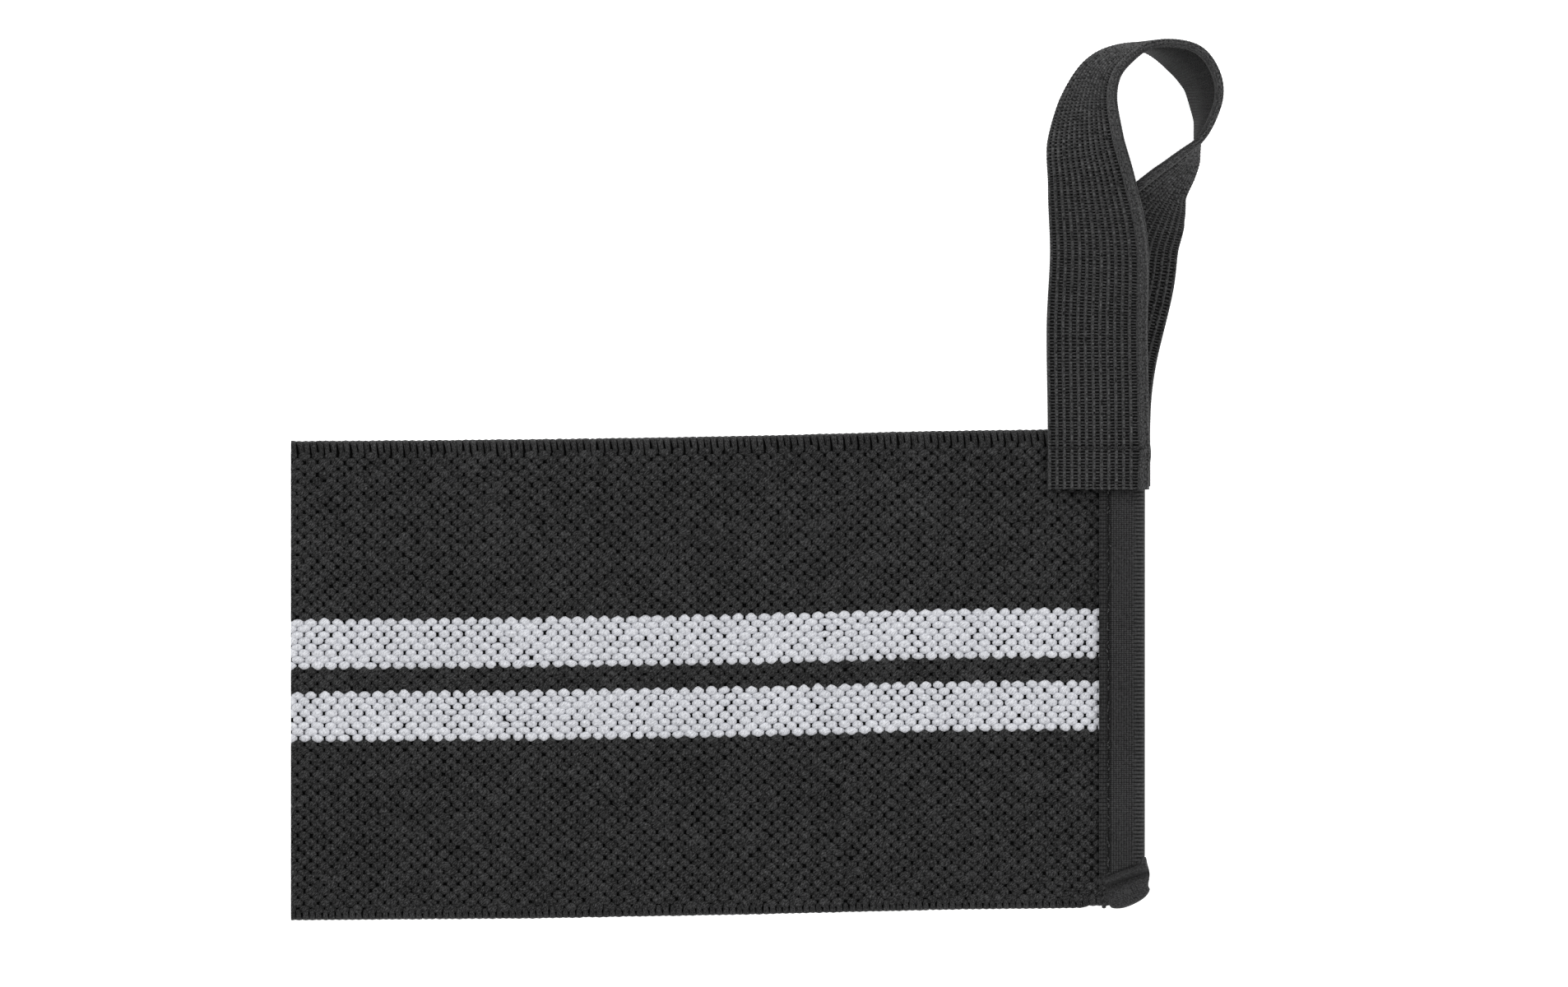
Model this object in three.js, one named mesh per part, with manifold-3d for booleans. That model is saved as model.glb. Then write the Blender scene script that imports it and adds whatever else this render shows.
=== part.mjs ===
// A wrist wrap that lies flat: a knitted elastic band, bound at one end, with a thumb loop at the corner.
// Millimetres. X runs along the band to its bound end, Y across it to the loop, Z up from the table.
// Sizes are given from the bound end (x = 0) and the lower selvedge there (y = 0).
import * as THREE from "three";
import { mergeVertices } from "three/addons/utils/BufferGeometryUtils.js";
import ManifoldModule from "manifold-3d";

// Driving dimensions
const fitGap = 0.3; // between pieces that are sewn together
const bandWidth = 76;
const knitThick = 2.4; // band wall
const seamThick = 1.6; // band wall where the binding presses it
const stripeWidth = 7.8; // one grey stripe
const stripeSpace = 3.7; // black knit between the stripes
const stripeDepth = 0.5; // share of the wall that a stripe's channel takes
const bindingWidth = 7.3; // folded tape, from its edge to the fold
const bindingThick = 0.6;
const tuckThick = 4.0; // tape tail folded over the lower corner, both faces
const tuckRoom = 1; // how far the band's lower edge is drawn up inside the tail
const tuckCut = 2.8; // and its corner, which is cut off
const tuckCutWidth = 2.9; // from the fold
const strapWidth = 16;
const strapThick = 1.4;
const hookLength = 36;
const hookWidth = 50;
const hookThick = 1.2;
const hookInset = 1.5; // from the free end
const hookCorner = 4;
const hookFacets = 6; // facets of a corner

// Band sections along its length: both selvedges, and the height of the underside at each of them
const bandRows = [
  { x: -135.5, lower: -1.8, upper: 74.2, underLower: 1.5, underUpper: 1.5, thick: knitThick },
  { x: -116, lower: -1.65, upper: 74.3, underLower: 1.5, underUpper: 1.5, thick: knitThick },
  { x: -96, lower: -1.5, upper: 74.5, underLower: 1.5, underUpper: 1.5, thick: knitThick },
  { x: -76, lower: -1.15, upper: 74.8, underLower: 0.2, underUpper: 0.2, thick: knitThick },
  { x: -62, lower: -0.9, upper: 75.05, underLower: 0, underUpper: 0, thick: knitThick },
  { x: -38, lower: -0.3, upper: 75.7, underLower: 0, underUpper: 0, thick: knitThick },
  { x: -26, lower: -0.05, upper: 75.9, underLower: 0.1, underUpper: 0.6, thick: knitThick },
  { x: -16, lower: 0.05, upper: 76, underLower: 0.5, underUpper: 2.3, thick: 2.3 },
  { x: -8.4, lower: 0.1, upper: 75.9, underLower: 0.96, underUpper: 2.9, thick: seamThick },
  { x: -5.8, lower: tuckRoom, upper: 75.9, underLower: 0.96, underUpper: 2.9, thick: seamThick },
  { x: -4.6, lower: tuckCut, upper: 75.9, underLower: 0.96, underUpper: 2.9, thick: seamThick },
  { x: -1.7, lower: tuckCut, upper: 75.9, underLower: 0.96, underUpper: 2.9, thick: seamThick },
];
const bandSteps = 3; // sections between two rows
const edgeSteps = 6; // facets round a selvedge

// Tucked tail of the binding, seen from above, round its outline
const tuckCorners = [
  { x: -7.6, y: 5.1 },
  { x: -4.2, y: 6.3 },
  { x: -0.15, y: 8.3 },
  { x: 0.5, y: 6.6 },
  { x: 0.6, y: 4.8 },
  { x: 0.75, y: 3.2 },
  { x: 0.2, y: 2 },
  { x: -0.9, y: 1.1 },
  { x: -2.9, y: 0.3 },
  { x: -4.6, y: -0.1 },
  { x: -5.6, y: 0.2 },
  { x: -6.4, y: 2.4 },
];
const tuckRound = 0.7;
const tuckSteps = 24; // points round the tail's outline
const tuckFacets = 3; // facets of its round edge

// Thumb loop: the strap's middle line, and how far its right-hand edge is turned up from lying flat
const loopRows = [
  { x: -7.4, y: 66.5, z: 6.4, lean: 4 },
  { x: -7.4, y: 73, z: 6.4, lean: 4 },
  { x: -7.45, y: 79, z: 6.55, lean: 4 },
  { x: -7.65, y: 92, z: 7.7, lean: 7 },
  { x: -7.4, y: 105, z: 10.2, lean: 18 },
  { x: -8.57, y: 114.7, z: 12.6, lean: 34 },
  { x: -9.64, y: 121.7, z: 13.1, lean: 44.5 },
  { x: -9.17, y: 128.26, z: 12.4, lean: 60.5 },
  { x: -7.13, y: 133.03, z: 11.6, lean: 71.5 },
  { x: -3.9, y: 135.67, z: 10.8, lean: 80 },
  { x: -0.1, y: 136.88, z: 10.1, lean: 90 },
  { x: 3.34, y: 136.3, z: 9.5, lean: 100 },
  { x: 6.7, y: 134.4, z: 8.9, lean: 109 },
  { x: 8.9, y: 131.2, z: 8.5, lean: 109 },
  { x: 9.5, y: 128.1, z: 8.3, lean: 105.3 },
  { x: 9.3, y: 124.8, z: 8.3, lean: 97.5 },
  { x: 8.4, y: 122, z: 8.3, lean: 91 },
  { x: 6.9, y: 119.3, z: 8.2, lean: 80 },
  { x: 5, y: 116.72, z: 7.9, lean: 72.2 },
  { x: 2.27, y: 113.38, z: 7.3, lean: 62.7 },
  { x: 0.06, y: 110.46, z: 6, lean: 45.7 },
  { x: -1.9, y: 106.3, z: 3.9, lean: 26 },
  { x: -3.2, y: 99.5, z: 2.6, lean: 14 },
  { x: -6, y: 88.4, z: 1.35, lean: 4 },
  { x: -6.9, y: 82.5, z: 0.95, lean: 1.3 },
  { x: -7.2, y: 77, z: 0.75, lean: 0 },
  { x: -7.2, y: 72, z: 0.75, lean: 0 },
  { x: -7.2, y: 67, z: 0.75, lean: 0 },
];
const loopSteps = 6; // sections between two rows
const cutOver = 5; // how far a cut runs past the end it opens
const weldWithin = 1e-4; // points this near are one

const solids = await ManifoldModule();
solids.setup();

// A value of the band's table at x. Selvedges run straight between rows, heights ease in and out.
function bandAt(x, column) {
  const next = Math.max(1, bandRows.findIndex((row) => row.x >= x - 1e-9));
  const before = bandRows[next - 1];
  const after = bandRows[next];
  const straight = column === "lower" || column === "upper";
  const share = straight
    ? (x - before.x) / (after.x - before.x)
    : THREE.MathUtils.smoothstep(x, before.x, after.x);
  return THREE.MathUtils.lerp(before[column], after[column], share);
}

// The line between the stripes, half a width below the upper selvedge
function middleAt(x) {
  return bandAt(x, "upper") - bandWidth / 2;
}

// A closed skin through rings of points with flat ends. Each ring runs anticlockwise as seen from the
// end that the rings go to, and the outline has a ring's points in its own plane.
function skin(rings, outline) {
  const around = rings[0].length;
  const index = [];
  for (let i = 0; i + 1 < rings.length; i += 1) {
    for (let j = 0; j < around; j += 1) {
      const a = i * around + j;
      const b = i * around + ((j + 1) % around);
      index.push(a, b, b + around, a, b + around, a + around);
    }
  }
  const last = (rings.length - 1) * around;
  for (const [a, b, c] of THREE.ShapeUtils.triangulateShape(outline, [])) {
    index.push(c, b, a, last + a, last + b, last + c);
  }
  const geometry = new THREE.BufferGeometry().setFromPoints(rings.flat());
  geometry.setIndex(index);
  geometry.computeVertexNormals();
  return geometry;
}

// Half a circle of points, anticlockwise from the given angle
function halfRound(centreAcross, centreUp, radius, from) {
  const points = [];
  for (let i = 0; i <= edgeSteps; i += 1) {
    const angle = from + (Math.PI * i) / edgeSteps;
    points.push(new THREE.Vector2(
      centreAcross + radius * Math.cos(angle),
      centreUp + radius * Math.sin(angle),
    ));
  }
  return points;
}

// Where a stripe runs, as distances from the middle of the band
const stripeSides = {
  upper: { from: stripeSpace / 2, to: stripeSpace / 2 + stripeWidth },
  lower: { from: -stripeSpace / 2 - stripeWidth, to: -stripeSpace / 2 },
};

// The band's section at x: a flat strip with round selvedges and a channel for each stripe
function bandOutline(x) {
  const thick = bandAt(x, "thick");
  const upper = bandWidth / 2;
  const lower = bandAt(x, "lower") - middleAt(x);
  const floor = thick * (1 - stripeDepth);
  const face = [];
  for (const side of [stripeSides.upper, stripeSides.lower]) {
    face.push(new THREE.Vector2(side.to, thick));
    face.push(new THREE.Vector2(side.to, floor));
    face.push(new THREE.Vector2(side.from, floor));
    face.push(new THREE.Vector2(side.from, thick));
  }
  return [
    ...halfRound(upper - thick / 2, thick / 2, thick / 2, -Math.PI / 2),
    ...face,
    ...halfRound(lower + thick / 2, thick / 2, thick / 2, Math.PI / 2),
  ];
}

function stripeOutline(x, side) {
  const thick = bandAt(x, "thick");
  const floor = thick * (1 - stripeDepth) + fitGap;
  return [
    new THREE.Vector2(side.from + fitGap, floor),
    new THREE.Vector2(side.to - fitGap, floor),
    new THREE.Vector2(side.to - fitGap, thick),
    new THREE.Vector2(side.from + fitGap, thick),
  ];
}

// The height of the band's underside at x, y
function underAt(x, y) {
  const share = (y - bandAt(x, "lower")) / (bandAt(x, "upper") - bandAt(x, "lower"));
  return THREE.MathUtils.lerp(bandAt(x, "underLower"), bandAt(x, "underUpper"), share);
}

function laidOnBand(x, outline) {
  const middle = middleAt(x);
  return outline.map((p) => new THREE.Vector3(x, middle + p.x, underAt(x, middle + p.x) + p.y));
}

function alongBand(outlineAt) {
  const rings = [];
  for (let i = 0; i + 1 < bandRows.length; i += 1) {
    for (let step = 0; step < bandSteps; step += 1) {
      const x = THREE.MathUtils.lerp(bandRows[i].x, bandRows[i + 1].x, step / bandSteps);
      rings.push(laidOnBand(x, outlineAt(x)));
    }
  }
  const end = bandRows.at(-1).x;
  rings.push(laidOnBand(end, outlineAt(end)));
  return skin(rings, outlineAt(bandRows[0].x));
}

// The strap: a flat section with round edges, carried along the loop and turned by its lean
function strap() {
  const half = strapWidth / 2;
  const edge = strapThick / 2;
  const outline = [
    ...halfRound(half - edge, 0, edge, -Math.PI / 2),
    ...halfRound(-half + edge, 0, edge, Math.PI / 2),
  ];
  const line = new THREE.CatmullRomCurve3(loopRows.map((row) => new THREE.Vector3(row.x, row.y, row.z)));
  const leans = new THREE.SplineCurve(loopRows.map((row, i) => new THREE.Vector2(i, row.lean)));
  const rings = [];
  const count = (loopRows.length - 1) * loopSteps;
  for (let i = 0; i <= count; i += 1) {
    const middle = line.getPoint(i / count);
    const ahead = line.getTangent(i / count);
    const lean = THREE.MathUtils.degToRad(leans.getPoint(i / count).y);
    const right = new THREE.Vector3(ahead.y, -ahead.x, 0).normalize();
    const across = right.multiplyScalar(Math.cos(lean)).add(new THREE.Vector3(0, 0, Math.sin(lean)));
    across.addScaledVector(ahead, -across.dot(ahead)).normalize();
    const back = new THREE.Vector3().crossVectors(ahead, across);
    rings.push(outline.map((p) => middle.clone().addScaledVector(across, p.x).addScaledVector(back, p.y)));
  }
  return skin(rings, outline);
}

// A bar along Y from one height to the next, flat on the left and round on the right
function roundBar(left, right, halfHeight, top, bottom) {
  const outline = [
    new THREE.Vector2(left, halfHeight),
    new THREE.Vector2(left, -halfHeight),
    ...halfRound(right - halfHeight, 0, halfHeight, -Math.PI / 2),
  ];
  const rings = [top, bottom].map((y) => {
    const middle = underAt(bandRows.at(-1).x, y) + seamThick / 2;
    return outline.map((p) => new THREE.Vector3(p.x, y, middle + p.y));
  });
  return skin(rings, outline);
}

function solid(geometry) {
  const plain = new THREE.BufferGeometry();
  plain.setAttribute("position", geometry.getAttribute("position").clone());
  plain.setIndex(geometry.index);
  const merged = mergeVertices(plain, weldWithin);
  return new solids.Manifold(new solids.Mesh({
    numProp: 3,
    vertProperties: new Float32Array(merged.getAttribute("position").array),
    triVerts: new Uint32Array(merged.index.array),
  }));
}

function geometryOf(body) {
  const mesh = body.getMesh();
  const geometry = new THREE.BufferGeometry();
  geometry.setAttribute("position", new THREE.BufferAttribute(mesh.vertProperties, 3));
  geometry.setIndex(new THREE.BufferAttribute(mesh.triVerts, 1));
  geometry.computeVertexNormals();
  return geometry;
}

// The binding: tape folded round the band's end, with its tail tucked over the lower corner
function binding() {
  const end = bandRows.at(-1);
  const inside = seamThick / 2 + fitGap;
  const outside = inside + bindingThick;
  const tape = roundBar(-bindingWidth, 0, outside, end.upper, tuckRoom);
  const room = roundBar(-2 * bindingWidth, -bindingThick, inside, end.upper + cutOver, tuckCut - fitGap);
  const lowRoom = roundBar(-2 * bindingWidth, -tuckCutWidth, inside, end.upper + cutOver, tuckRoom - fitGap);
  const tuckLine = new THREE.SplineCurve(tuckCorners.map((c) => new THREE.Vector2(c.x, c.y)));
  const tuckShape = new THREE.Shape(tuckLine.getPoints(tuckSteps));
  const tail = new THREE.ExtrudeGeometry(tuckShape, {
    depth: tuckThick - 2 * tuckRound,
    bevelThickness: tuckRound,
    bevelSize: tuckRound,
    bevelOffset: -tuckRound,
    bevelSegments: tuckFacets,
  });
  tail.translate(0, 0, tuckRound);
  return geometryOf(solid(tape).add(solid(tail)).subtract(solid(room).add(solid(lowRoom))));
}

function hookPatch() {
  const free = bandRows[0];
  const x0 = free.x + hookInset;
  const y0 = (free.lower + free.upper - hookWidth) / 2;
  const shape = new THREE.Shape();
  shape.moveTo(x0 + hookCorner, y0);
  shape.absarc(x0 + hookLength - hookCorner, y0 + hookCorner, hookCorner, -Math.PI / 2, 0);
  shape.absarc(x0 + hookLength - hookCorner, y0 + hookWidth - hookCorner, hookCorner, 0, Math.PI / 2);
  shape.absarc(x0 + hookCorner, y0 + hookWidth - hookCorner, hookCorner, Math.PI / 2, Math.PI);
  shape.absarc(x0 + hookCorner, y0 + hookCorner, hookCorner, Math.PI, 1.5 * Math.PI);
  return new THREE.ExtrudeGeometry(shape, { depth: hookThick, bevelEnabled: false, curveSegments: hookFacets });
}

function piece(name, geometry, color, roughness) {
  const material = new THREE.MeshStandardMaterial({ color, roughness, metalness: 0 });
  const mesh = new THREE.Mesh(geometry, material);
  mesh.name = name;
  return mesh;
}

const pieces = [
  piece("band", alongBand(bandOutline), 0x2e2e30, 0.9),
  piece("stripe_upper", alongBand((x) => stripeOutline(x, stripeSides.upper)), 0xbabcc1, 0.9),
  piece("stripe_lower", alongBand((x) => stripeOutline(x, stripeSides.lower)), 0xbabcc1, 0.9),
  piece("end_binding", binding(), 0x363638, 0.8),
  piece("thumb_loop", strap(), 0x323234, 0.75),
  piece("hook_patch", hookPatch(), 0x262628, 0.7),
];

// The part stands on the middle of its underside
const wrap = new THREE.Group();
wrap.name = "wrist_wrap";
wrap.add(...pieces);
const bounds = new THREE.Box3().setFromObject(wrap, true);
const middle = bounds.getCenter(new THREE.Vector3());
for (const mesh of pieces) {
  mesh.geometry.translate(-middle.x, -middle.y, -bounds.min.z);
}

export default wrap;
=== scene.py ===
import math

import bmesh
import bpy
import numpy as np
from mathutils import Matrix, Vector


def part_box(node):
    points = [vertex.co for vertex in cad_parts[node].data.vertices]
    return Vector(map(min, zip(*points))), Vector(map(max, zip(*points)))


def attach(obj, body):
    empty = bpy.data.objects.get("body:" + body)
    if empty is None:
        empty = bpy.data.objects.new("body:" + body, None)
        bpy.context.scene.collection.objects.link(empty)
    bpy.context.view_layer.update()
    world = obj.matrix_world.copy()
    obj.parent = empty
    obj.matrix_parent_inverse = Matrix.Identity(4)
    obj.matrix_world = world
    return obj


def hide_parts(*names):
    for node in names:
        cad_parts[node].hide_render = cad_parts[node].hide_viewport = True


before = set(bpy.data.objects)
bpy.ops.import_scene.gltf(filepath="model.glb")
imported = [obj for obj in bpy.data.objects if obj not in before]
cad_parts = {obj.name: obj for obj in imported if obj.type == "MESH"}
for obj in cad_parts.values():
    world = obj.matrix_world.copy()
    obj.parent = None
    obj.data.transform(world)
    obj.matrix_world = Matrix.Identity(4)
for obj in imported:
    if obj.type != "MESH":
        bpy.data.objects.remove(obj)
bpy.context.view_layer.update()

mm = 0.001
tiny = 1e-6
seed = 76
chance = np.random.default_rng(seed)
plainTone = 0.5
# how far apart yarns start on the noise that they share
mapSpread = 90

# the band's table: both selvedges, the underside's height at each, and the wall
bandForm = {
    "columns": ("x", "lower", "upper", "underLower", "underUpper", "thick"),
    "rows": (
        (-135.5, -1.8, 74.2, 1.5, 1.5, 2.4),
        (-116, -1.65, 74.3, 1.5, 1.5, 2.4),
        (-96, -1.5, 74.5, 1.5, 1.5, 2.4),
        (-76, -1.15, 74.8, 0.2, 0.2, 2.4),
        (-62, -0.9, 75.05, 0, 0, 2.4),
        (-38, -0.3, 75.7, 0, 0, 2.4),
        (-26, -0.05, 75.9, 0.1, 0.6, 2.4),
        (-16, 0.05, 76, 0.5, 2.3, 2.3),
        (-9.8, 0.12, 75.95, 0.92, 2.85, 1.66),
        (-9, 0.45, 75.9, 0.96, 2.9, 1.6),
        (-5.4, 0.5, 75.9, 0.96, 2.9, 1.6),
        (-4.6, 2.8, 75.9, 0.96, 2.9, 1.6),
        (-1.7, 2.8, 75.9, 0.96, 2.9, 1.6),
    ),
}
bandTable = np.array(bandForm["rows"], float)
freeEnd = bandTable[0, 0]
boundEnd = bandTable[-1, 0]

# sizes are in mm from the bound end's fold (x = 0) and the lower selvedge there (y = 0)
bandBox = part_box("band")
shift = np.array([bandBox[0].x / mm - freeEnd, bandBox[0].y / mm - bandTable[0, 1], 0])


def toFrame(points):
    return (points + shift) * mm


def eased(share):
    return share * share * (3 - 2 * share)


def hump(x, centre, width):
    return np.exp(-(((x - centre) / width) ** 2))


# Laying: every piece is made flat, in mm, and then laid on the band, round an edge or along the loop


def bandAt(x, column):
    values = bandTable[:, bandForm["columns"].index(column)]
    after = np.clip(np.searchsorted(bandTable[:, 0], x), 1, len(values) - 1)
    start, end = bandTable[after - 1, 0], bandTable[after, 0]
    share = np.clip((x - start) / (end - start), 0, 1)
    if column not in ("lower", "upper"):
        share = eased(share)  # heights ease in and out
    return values[after - 1] + share * (values[after] - values[after - 1])


def underAt(x, y):
    lower = bandAt(x, "lower")
    share = (y - lower) / (bandAt(x, "upper") - lower)
    return bandAt(x, "underLower") + share * (bandAt(x, "underUpper") - bandAt(x, "underLower"))


# flat x along the band, y from the upper selvedge, lift from the face
def onFace(flat):
    x, y, lift = np.moveaxis(flat, -1, 0)
    y = y + bandAt(x, "upper")
    return toFrame(np.stack([x, y, underAt(x, y) + bandAt(x, "thick") + lift], -1))


# the same, with the lift from the underside
def onBack(flat):
    x, y, lift = np.moveaxis(flat, -1, 0)
    y = y + bandAt(x, "upper")
    return toFrame(np.stack([x, y, underAt(x, y) + lift], -1))


# flat x along the band, y share of the width, z share of the wall
def insideBand(flat):
    x, share, depth = np.moveaxis(flat, -1, 0)
    lower, upper = bandAt(x, "lower"), bandAt(x, "upper")
    y = lower + share * (upper - lower)
    return toFrame(np.stack([x, y, underAt(x, y) + depth * bandAt(x, "thick")], -1))


# a path round a fold: flat run, half round, flat run; returns how far in, and how high
def roundFold(along, out, radius):
    bend = math.pi / 2 * radius
    angle = np.clip(along, -bend, bend) / radius
    past = np.abs(along) - bend
    inward = radius - (radius + out) * np.cos(angle)
    inward = np.where(past > 0, radius + past, inward)
    return inward, (radius + out) * np.sin(angle)


def roundUpper(flat):
    x, along, out = np.moveaxis(flat, -1, 0)
    radius = bandAt(x, "thick") / 2
    inward, up = roundFold(-along, out, radius)
    y = bandAt(x, "upper") - inward
    return toFrame(np.stack([x, y, underAt(x, y) + radius + up], -1))


def roundLower(flat):
    x, along, out = np.moveaxis(flat, -1, 0)
    radius = bandAt(x, "thick") / 2
    inward, up = roundFold(along, out, radius)
    y = bandAt(x, "lower") + inward
    return toFrame(np.stack([x, y, underAt(x, y) + radius + up], -1))


# Shapes and pieces


# a long bead along x, fuller than an ellipsoid where fullness is below 1
def beadShape(sides, rings, size, fullness):
    shape = bmesh.new()
    bmesh.ops.create_uvsphere(shape, u_segments=sides, v_segments=rings, radius=1)
    bmesh.ops.rotate(shape, matrix=Matrix.Rotation(math.pi / 2, 3, "Y"), verts=shape.verts)
    for vert in shape.verts:
        around = math.hypot(vert.co.y, vert.co.z)
        if around > tiny:
            fuller = around**fullness / around
            vert.co.y *= fuller
            vert.co.z *= fuller
    bmesh.ops.scale(shape, vec=[part / 2 for part in size], verts=shape.verts)
    return shape


# a bar along y with flat ends, cut into steps
def barShape(sides, steps, size):
    shape = bmesh.new()
    bmesh.ops.create_cone(shape, cap_ends=True, segments=sides, radius1=0.5, radius2=0.5, depth=1)
    bmesh.ops.rotate(shape, matrix=Matrix.Rotation(math.pi / 2, 3, "X"), verts=shape.verts)
    if steps > 1:
        long = [edge for edge in shape.edges if abs(edge.verts[0].co.y - edge.verts[1].co.y) > 0.5]
        bmesh.ops.subdivide_edges(shape, edges=long, cuts=steps - 1, use_grid_fill=True)
    bmesh.ops.scale(shape, vec=size, verts=shape.verts)
    return shape


# a flat slab from low to high corner, with steps along and across
def slabShape(low, high, steps):
    shape = bmesh.new()
    bmesh.ops.create_grid(shape, x_segments=steps[0], y_segments=steps[1], size=0.5)
    bmesh.ops.solidify(shape, geom=shape.faces, thickness=1)
    bmesh.ops.recalc_face_normals(shape, faces=shape.faces)
    heights = [vert.co.z for vert in shape.verts]
    floor, rise = min(heights), max(heights) - min(heights)
    for vert in shape.verts:
        share = (vert.co.x + 0.5, vert.co.y + 0.5, (vert.co.z - floor) / rise)
        vert.co = [a + part * (b - a) for a, b, part in zip(low, high, share)]
    return shape


def flatPoints(shape):
    return np.array([vert.co for vert in shape.verts], float)


# keeps the side of a plane that its normal points away from, and closes the cut
def cutShape(shape, place, normal):
    geometry = shape.verts[:] + shape.edges[:] + shape.faces[:]
    bmesh.ops.bisect_plane(shape, geom=geometry, plane_co=place, plane_no=normal, clear_outer=True)
    bmesh.ops.holes_fill(shape, edges=[edge for edge in shape.edges if edge.is_boundary])


# cuts a laid mesh flush with the band's free end
def cutFlush(mesh):
    shape = bmesh.new()
    shape.from_mesh(mesh)
    cutShape(shape, toFrame(np.array([freeEnd, 0, 0])), (-1, 0, 0))
    shape.to_mesh(mesh)
    shape.free()


# a piece of the object from a mesh
def addPiece(name, mesh, finish, replaced=()):
    piece = bpy.data.objects.new(name, mesh)
    bpy.context.scene.collection.objects.link(piece)
    mesh.materials.append(finish)
    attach(piece, "root")
    if replaced:
        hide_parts(*replaced)
    return piece


# copies of one shape in one mesh; each has a flat place, a turn, a size and a tone
def joinedMesh(name, shape, places, lay, turns=None, sizes=None, tones=None):
    shape.verts.ensure_lookup_table()
    points = flatPoints(shape)
    copies = len(places)
    turns = np.zeros(copies) if turns is None else turns
    sizes = np.ones((copies, 3)) if sizes is None else sizes
    tones = np.full(copies, plainTone) if tones is None else tones
    made = points[None] * sizes[:, None]
    cosine, sine = np.cos(turns)[:, None], np.sin(turns)[:, None]
    turned = np.stack([
        made[..., 0] * cosine - made[..., 1] * sine,
        made[..., 0] * sine + made[..., 1] * cosine,
        made[..., 2],
    ], -1)
    laid = lay(turned + places[:, None])
    corners = np.concatenate([[vert.index for vert in face.verts] for face in shape.faces])
    counts = np.array([len(face.verts) for face in shape.faces])
    starts = np.concatenate([[0], np.cumsum(counts)[:-1]])
    offsets = np.arange(copies)[:, None]
    mesh = bpy.data.meshes.new(name)
    mesh.vertices.add(copies * len(points))
    mesh.loops.add(copies * len(corners))
    mesh.polygons.add(copies * len(counts))
    mesh.vertices.foreach_set("co", laid.astype(np.float32).ravel())
    wanted = corners[None] + offsets * len(points)
    mesh.loops.foreach_set("vertex_index", wanted.astype(np.int32).ravel())
    firsts = starts[None] + offsets * len(corners)
    mesh.polygons.foreach_set("loop_start", firsts.astype(np.int32).ravel())
    mesh.update(calc_edges=True)
    # the yarn's own map: along it, and round it
    radius = max(np.ptp(points[:, 1]), np.ptp(points[:, 2])) / 2
    around = np.arctan2(points[:, 1], points[:, 2]) * radius
    own = np.stack([points[:, 0], around], -1)[corners]
    drawn = own[None] + chance.uniform(0, mapSpread, (copies, 1, 2))
    yarnMap = mesh.uv_layers.new(name="yarnMap")
    yarnMap.uv.foreach_set("vector", drawn.astype(np.float32).ravel())
    tone = mesh.attributes.new("tone", "FLOAT", "POINT")
    tone.data.foreach_set("value", np.repeat(tones, len(points)).astype(np.float32))
    shape.free()
    return mesh


# one flat shape laid as one mesh, its flat place kept as its map
def laidMesh(name, shape, lay):
    flat = flatPoints(shape)
    laid = lay(flat)
    for vert, place in zip(shape.verts, laid):
        vert.co = place
    mapLayer = shape.loops.layers.uv.new("yarnMap")
    toneLayer = shape.verts.layers.float.new("tone")
    shape.verts.index_update()
    for vert in shape.verts:
        vert[toneLayer] = plainTone
        x, y, z = flat[vert.index]
        for loop in vert.link_loops:
            loop[mapLayer].uv = (x + z, y)
    mesh = bpy.data.meshes.new(name)
    shape.to_mesh(mesh)
    shape.free()
    for face in mesh.polygons:
        face.use_smooth = True
    return mesh


# Finishes

# the Mix node's sockets where it mixes colours
mixSockets = {"share": 0, "dark": 6, "light": 7, "mixed": 2}


# one socket of a finish's nodes; sums on it add Math nodes
class Wire:
    def __init__(self, tree, socket=None):
        self.tree = tree
        self.socket = socket

    def add(self, kind, settings, inputs, output=0):
        node = self.tree.nodes.new(kind)
        for name, value in settings.items():
            setattr(node, name, value)
        for key, value in inputs.items():
            if isinstance(value, Wire):
                self.tree.links.new(value.socket, node.inputs[key])
            else:
                node.inputs[key].default_value = value
        return Wire(self.tree, node.outputs[output])

    def work(self, operation, *values):
        return self.add("ShaderNodeMath", {"operation": operation}, dict(enumerate(values)))

    def __add__(self, other):
        return self.work("ADD", self, other)

    def __sub__(self, other):
        return self.work("SUBTRACT", self, other)

    def __rsub__(self, other):
        return self.work("SUBTRACT", other, self)

    def __mul__(self, other):
        return self.work("MULTIPLY", self, other)

    __radd__ = __add__
    __rmul__ = __mul__

    # between two colours
    def colour(self, dark, light):
        settings = {"data_type": "RGBA", "clamp_factor": True}
        ends = {mixSockets["dark"]: (*dark, 1), mixSockets["light"]: (*light, 1)}
        inputs = {mixSockets["share"]: self, **ends}
        return self.add("ShaderNodeMix", settings, inputs, output=mixSockets["mixed"])

    def clamped(self):
        return self.add("ShaderNodeClamp", {}, {"Value": self})

    # an even wave of 0 to 1 with a period of 1
    def wave(self):
        return self.work("SINE", self * math.tau) * 0.5 + 0.5


# a finish with the values that are the same all over; the wires come from its recipe
def newFinish(name, look, recipe):
    finish = bpy.data.materials.new(name)
    finish.use_nodes = True
    tree = finish.node_tree
    shader = next(node for node in tree.nodes if node.type == "BSDF_PRINCIPLED")
    for socket, value in look["fixed"].items():
        shader.inputs[socket].default_value = value
    wires = recipe(Wire(tree), look)
    for socket, wire in wires.items():
        tree.links.new(wire.socket, shader.inputs[socket])
    return finish


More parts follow.
